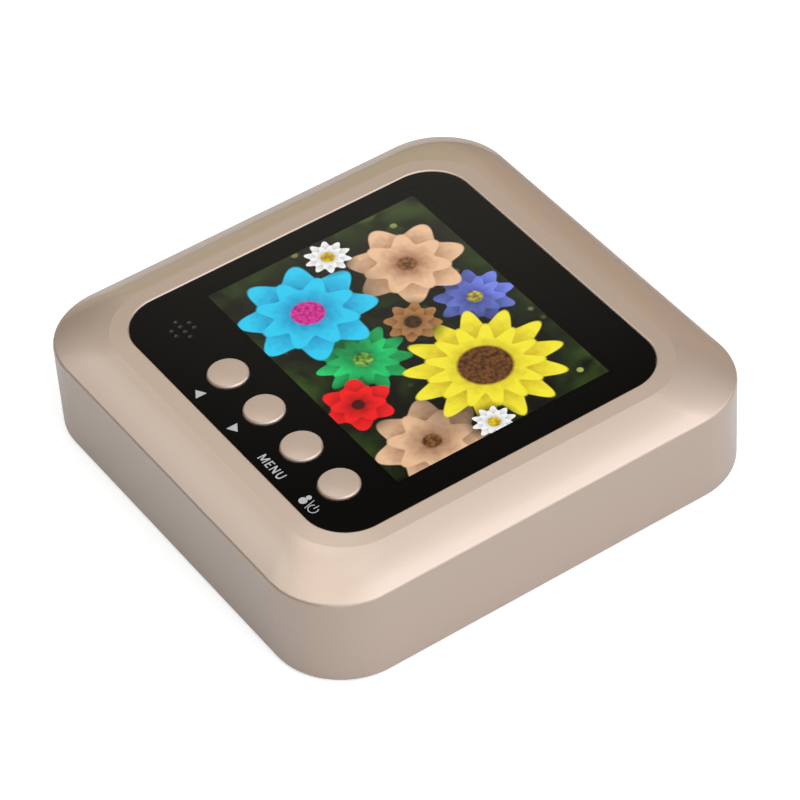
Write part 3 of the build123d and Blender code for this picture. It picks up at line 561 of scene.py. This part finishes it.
def striped(name, way, pitch, dark, light, surface):
    """A finish with straight stripes across one direction."""
    material, tree, place = new_material(name)
    stripes = add(
        tree,
        "ShaderNodeTexWave",
        {"Vector": place, "Scale": math.pi / 10 / pitch},
        bands_direction=way,
    ).outputs["Fac"]
    sharp = add(
        tree, "ShaderNodeMapRange", {"Value": stripes, "From Min": 0.35, "From Max": 0.65}
    ).outputs[0]
    tones = {0: sharp, 6: linear(dark), 7: linear(light)}
    colour = add(tree, "ShaderNodeMix", tones, data_type="RGBA").outputs[2]
    skin = add(tree, "ShaderNodeBsdfPrincipled", {"Base Color": colour, **surface})
    add(tree, "ShaderNodeOutputMaterial", {"Surface": skin.outputs[0]})
    return material


film_gloss = {"Roughness": 0.25, "Coat Weight": 0.5}
for way, piece in (("Y", "lcd_flex"), ("X", "camera_flex")):
    name = "polyimide_film_" + way.lower()
    dress(striped(name, way, track_pitch, "#7A3A10", "#B8661E", film_gloss), piece)

# Cable connectors. Ivory moulded nylon, soldered to the board by a row of tin-plated contacts,
# one for each track.
nylon = {"Roughness": 0.5}
for way, piece in (("Y", "display_connector"), ("X", "camera_connector")):
    name = "nylon_with_contacts_" + way.lower()
    dress(striped(name, way, track_pitch, "#8E8B84", "#D9D2BC", nylon), piece)


# Circuit boards. Glass-epoxy laminate with copper tracks under green solder resist: glossy, and
# a little lighter along the tracks, which stand up by their own thickness.
net_pitch = 2.2 * mm
track_height = 0.03 * mm
laminate, tree, place = new_material("green_solder_resist")
net = add(
    tree,
    "ShaderNodeTexVoronoi",
    {"Vector": place, "Scale": 1 / net_pitch, "Randomness": 0.75},
    feature="DISTANCE_TO_EDGE",
    distance="EUCLIDEAN",
).outputs["Distance"]
track = add(
    tree, "ShaderNodeMapRange", {"Value": net, "From Min": 0.1, "From Max": 0.06}
).outputs[0]
tones = {0: track, 6: linear("#0E3F22"), 7: linear("#1F6A3A")}
height = {"Height": track, "Distance": track_height}
values = {
    "Base Color": add(tree, "ShaderNodeMix", tones, data_type="RGBA").outputs[2],
    "Roughness": 0.3,
    "Coat Weight": 0.4,
    "Normal": add(tree, "ShaderNodeBump", height).outputs["Normal"],
}
skin = add(tree, "ShaderNodeBsdfPrincipled", values)
add(tree, "ShaderNodeOutputMaterial", {"Surface": skin.outputs[0]})
dress(laminate, "main_board", "camera_board")

# Crystal and capacitor cans. Aluminium cups, drawn to shape and crimped over: bright and plain,
# with faint draw marks.
drawn_can = finish(
    "drawn_aluminium",
    "#BFC0C2",
    "#D6D7D9",
    0.3 * mm,
    0.001 * mm,
    {"Metallic": 1.0, "Roughness": 0.25},
)
dress(drawn_can, "clock_crystal", "capacitors")

# Coil. A winding pressed into grey ferrite powder and soldered to the board: dull and slightly
# rough.
ferrite = finish("pressed_ferrite", "#2E2E30", "#474749", 0.2 * mm, 0.02 * mm, {"Roughness": 0.75})
dress(ferrite, "power_inductor")

# Switch bodies and plungers. Black moulded ABS, soldered to the board, with the fine texture of
# the spark-eroded mould.
black_abs = finish(
    "spark_textured_abs", "#121213", "#1E1E1F", 0.12 * mm, 0.01 * mm, {"Roughness": 0.55}
)
dress(black_abs, "switch_bodies", *[name + "_plunger" for name in key_names])

# Loudspeaker film. Thin dark polyester, pressed to a cone and glued to the basket's rim: slightly
# glossy.
speaker_film = finish(
    "pressed_polyester_film", "#19191A", "#2B2B2C", 0.5 * mm, 0.01 * mm, {"Roughness": 0.35}
)
dress(speaker_film, "speaker_cone")


# Rear cover and battery lid. The same ABS and paint as the front, moulded with a slightly
# coarser skin, since the back is seen less.
rear_paint = finish(
    "sprayed_champagne_pearl_rear",
    "#C4AD9B",
    "#D0B9A7",
    0.4 * mm,
    0.004 * mm,
    {"Metallic": 0.5, "Roughness": 0.45, "Coat Weight": 0.5, "Coat Roughness": 0.15},
)
dress(rear_paint, "rear_housing", "battery_lid")

# Battery contacts and springs. Spring steel, stamped or coiled, then nickel-plated: a warm grey,
# fairly bright. They are pushed into slots of the pocket's ends.
nickel_plate = finish(
    "nickel_plated_steel",
    "#B5B1A6",
    "#CBC7BC",
    0.3 * mm,
    0.001 * mm,
    {"Metallic": 1.0, "Roughness": 0.22},
)
dress(nickel_plate, "battery_contacts", "battery_springs")

# Screws. Cold-headed steel with a cross recess and a pan head, zinc-plated and passivated, which
# gives a slight yellow tint.
zinc_plate = finish(
    "zinc_plated_steel",
    "#9F9C93",
    "#BBB8AF",
    0.2 * mm,
    0.002 * mm,
    {"Metallic": 1.0, "Roughness": 0.3},
)
dress(zinc_plate, "housing_screws", "board_screws", "camera_screws")


# Cells. A printed plastic sleeve in dark blue with a copper-coloured band at the positive end,
# over a nickel-plated can whose two ends stay bare.
can_end = 22.85 * mm
band_start = 12.0 * mm
least_end = 0.7
sleeve_grain = 0.8 * mm


def cell_sleeve(name, way):
    """Sleeve of a cell whose positive end points along X that way, 1 or -1."""
    material, tree, place = new_material(name)
    along = add(tree, "ShaderNodeSeparateXYZ", {0: place}).outputs["X"]
    forward = add(tree, "ShaderNodeMath", {0: along, 1: way}, operation="MULTIPLY").outputs[0]
    band = add(
        tree, "ShaderNodeMath", {0: forward, 1: band_start}, operation="GREATER_THAN"
    ).outputs[0]
    facing = add(tree, "ShaderNodeNewGeometry", {}).outputs["Normal"]
    sideways = add(tree, "ShaderNodeSeparateXYZ", {0: facing}).outputs["X"]
    turned = add(tree, "ShaderNodeMath", {0: sideways}, operation="ABSOLUTE").outputs[0]
    end = add(
        tree, "ShaderNodeMath", {0: turned, 1: least_end}, operation="GREATER_THAN"
    ).outputs[0]
    nub = add(
        tree, "ShaderNodeMath", {0: forward, 1: can_end}, operation="GREATER_THAN"
    ).outputs[0]
    bare = add(tree, "ShaderNodeMath", {0: end, 1: nub}, operation="MAXIMUM").outputs[0]
    grain = add(
        tree, "ShaderNodeTexNoise", {"Vector": place, "Scale": 1 / sleeve_grain}
    ).outputs["Fac"]
    blue, copper = (
        add(
            tree, "ShaderNodeMix", {0: grain, 6: linear(dark), 7: linear(light)}, data_type="RGBA"
        ).outputs[2]
        for dark, light in (("#10182A", "#1A2740"), ("#A8672F", "#C4823F"))
    )
    colour = add(tree, "ShaderNodeMix", {0: band, 6: blue, 7: copper}, data_type="RGBA")
    sleeve = add(
        tree,
        "ShaderNodeBsdfPrincipled",
        {"Base Color": colour.outputs[2], "Roughness": 0.25, "Coat Weight": 0.3},
    )
    metal = add(
        tree,
        "ShaderNodeBsdfPrincipled",
        {"Base Color": linear("#C6C3BA"), "Metallic": 1.0, "Roughness": 0.25},
    )
    both = add(tree, "ShaderNodeMixShader", {0: bare, 1: sleeve.outputs[0], 2: metal.outputs[0]})
    add(tree, "ShaderNodeOutputMaterial", {"Surface": both.outputs[0]})
    return material


sleeve_right = cell_sleeve("printed_sleeve_right", 1.0)
sleeve_left = cell_sleeve("printed_sleeve_left", -1.0)
dress(sleeve_right, "battery_cell_1", "battery_cell_3")
dress(sleeve_left, "battery_cell_2")


# Camera. The holder and the barrel are black nylon; the front lens and the filter are ground
# glass with a thin anti-reflection coating, which gives a bluish tint.
coating_patch = 2.0 * mm
black_nylon = finish(
    "moulded_black_nylon", "#0B0B0C", "#161617", 0.12 * mm, 0.01 * mm, {"Roughness": 0.5}
)
dress(black_nylon, "lens_holder", "lens_barrel")
for name, tint, piece in (
    ("coated_lens_glass", "#8FA0C8", "camera_lens"),
    ("infrared_filter_glass", "#A9D6D8", "infrared_filter"),
):
    ground_glass, tree, place = new_material(name)
    coating = add(tree, "ShaderNodeTexNoise", {"Vector": place, "Scale": 1 / coating_patch})
    tones = {0: coating.outputs["Fac"], 6: linear(tint), 7: linear("#FFFFFF")}
    values = {
        "Base Color": add(tree, "ShaderNodeMix", tones, data_type="RGBA").outputs[2],
        "Roughness": 0.01,
        "IOR": 1.52,
        "Transmission Weight": 1.0,
    }
    skin = add(tree, "ShaderNodeBsdfPrincipled", values)
    add(tree, "ShaderNodeOutputMaterial", {"Surface": skin.outputs[0]})
    dress(ground_glass, piece)


# Studio light. Soft round patches of a pale studio, each with its azimuth and elevation, the
# angles where it starts and ends to fade, its colour and its strength. The sky is white to the
# camera alone.
patches = (
    (165, 3, 1, 14, "#FFF3D3", 0.43),
    (15, 10, 2, 30, "#E9EFFF", 1.40),
    (330, 10, 2, 30, "#E8EEFF", 0.81),
    (125, 16, 1, 17, "#FFCC88", 0.35),
    (150, 16, 1, 17, "#FFF4B0", 0.43),
    (135, 24, 1, 9, "#FFFAD8", 0.36),
    (158, 24, 1, 9, "#FFF8E0", 0.47),
    (15, 32, 2, 30, "#EFF4FF", 1.71),
    (60, 32, 2, 30, "#FFFFFF", 1.42),
    (330, 32, 2, 30, "#F6F9FF", 0.87),
    (195, 36, 2, 22, "#FCFFF6", 0.34),
    (148, 35, 1, 10, "#FFF6E4", 0.44),
    (205, 45, 12, 15, "#EAF0FF", 0.67),
    (46, 57, 10, 13, "#F0F5FF", 0.78),
    (156, 58, 6, 12, "#FFFDFA", 1.08),
    (168, 55, 2, 14, "#FFFAF4", 0.64),
    (20, 60, 2, 32, "#F6F9FF", 1.58),
    (92, 60, 2, 32, "#ECF4FF", 0.64),
    (164, 60, 2, 32, "#FFF7E5", 0.11),
    (236, 60, 2, 32, "#FEFFF8", 1.08),
    (308, 60, 2, 32, "#FCFDFA", 0.62),
    (150, 66, 6, 20, "#FFFEF7", 0.60),
    (0, 90, 0, 34, "#FBFFFC", 0.91),
    (0, -90, 10, 85, "#FFFFFF", 1.20),
)
world = bpy.data.worlds.new("studio")
bpy.context.scene.world = world
world.use_nodes = True
tree = world.node_tree
tree.nodes.clear()
direction = add(tree, "ShaderNodeTexCoord", {}).outputs["Generated"]
light = linear("#000000")
for azimuth, elevation, inner, outer, colour, strength in patches:
    swing = Matrix.Rotation(math.radians(azimuth), 3, "Z")
    lift = Matrix.Rotation(-math.radians(elevation), 3, "Y")
    way = swing @ lift @ Vector((1.0, 0.0, 0.0))
    near = add(
        tree,
        "ShaderNodeVectorMath",
        {0: direction, 1: way},
        operation="DOT_PRODUCT",
    ).outputs["Value"]
    share = add(
        tree,
        "ShaderNodeMapRange",
        {
            "Value": near,
            "From Min": math.cos(math.radians(outer)),
            "From Max": math.cos(math.radians(inner)),
            "To Max": strength,
        },
        interpolation_type="SMOOTHSTEP",
    ).outputs[0]
    light = add(
        tree,
        "ShaderNodeMix",
        {0: share, 6: light, 7: linear(colour)},
        data_type="RGBA",
        blend_type="ADD",
        clamp_factor=False,
    ).outputs[2]
seen = add(tree, "ShaderNodeLightPath", {}).outputs["Is Camera Ray"]
sky = add(tree, "ShaderNodeMix", {0: seen, 6: light, 7: linear("#FFFFFF")}, data_type="RGBA")
background = add(tree, "ShaderNodeBackground", {"Color": sky.outputs[2], "Strength": 1.0})
add(tree, "ShaderNodeOutputWorld", {"Surface": background.outputs[0]})


# Floor. White paper that reads as white to the camera and keeps the unit's shadow. Seen from
# below, and in a rounded square right under the unit, it is clear, so that the back is lit and
# can be looked at.
floor_reach = 3.0
floor_drop = 0.05 * mm
floor_glow = 0.58
foot_reach = (38.0 * mm, 38.5 * mm, 1.0)
foot_squarings = 3
paper_grain = 1.5 * mm
floor_form = bmesh.new()
bmesh.ops.create_grid(floor_form, x_segments=1, y_segments=1, size=floor_reach)
floor_mesh = bpy.data.meshes.new("floor")
floor_form.to_mesh(floor_mesh)
floor_form.free()
floor = bpy.data.objects.new("floor", floor_mesh)
floor.location.z = -floor_drop
bpy.context.scene.collection.objects.link(floor)
white_paper, tree, place = new_material("white_paper")
path = add(tree, "ShaderNodeLightPath", {})
seen = path.outputs["Is Camera Ray"]
fibre = add(tree, "ShaderNodeTexNoise", {"Vector": place, "Scale": 1 / paper_grain})
tones = {0: fibre.outputs["Fac"], 6: linear("#CDCDCD"), 7: linear("#D3D3D3")}
paper = add(tree, "ShaderNodeMix", tones, data_type="RGBA").outputs[2]
diffuse = add(tree, "ShaderNodeBsdfDiffuse", {"Color": paper})
glow = add(tree, "ShaderNodeEmission", {"Color": linear("#FFFFFF"), "Strength": floor_glow})
lit = add(tree, "ShaderNodeAddShader", {0: diffuse.outputs[0], 1: glow.outputs[0]})
above = add(tree, "ShaderNodeMixShader", {0: seen, 1: diffuse.outputs[0], 2: lit.outputs[0]})
below = add(tree, "ShaderNodeBsdfTransparent", {})
share = add(tree, "ShaderNodeVectorMath", {0: place, 1: foot_reach}, operation="DIVIDE").outputs[0]
for squaring in range(foot_squarings):
    share = add(
        tree, "ShaderNodeVectorMath", {0: share, 1: share}, operation="MULTIPLY"
    ).outputs[0]
spread = add(
    tree, "ShaderNodeVectorMath", {0: share, 1: (1.0, 1.0, 0.0)}, operation="DOT_PRODUCT"
).outputs["Value"]
under = add(tree, "ShaderNodeMath", {0: spread, 1: 1.0}, operation="LESS_THAN").outputs[0]
back = add(tree, "ShaderNodeNewGeometry", {}).outputs["Backfacing"]
clear = add(tree, "ShaderNodeMath", {0: under, 1: back}, operation="MAXIMUM").outputs[0]
both = add(tree, "ShaderNodeMixShader", {0: clear, 1: above.outputs[0], 2: below.outputs[0]})
add(tree, "ShaderNodeOutputMaterial", {"Surface": both.outputs[0]})
floor_mesh.materials.append(white_paper)

bpy.context.scene.view_settings.view_transform = "Standard"
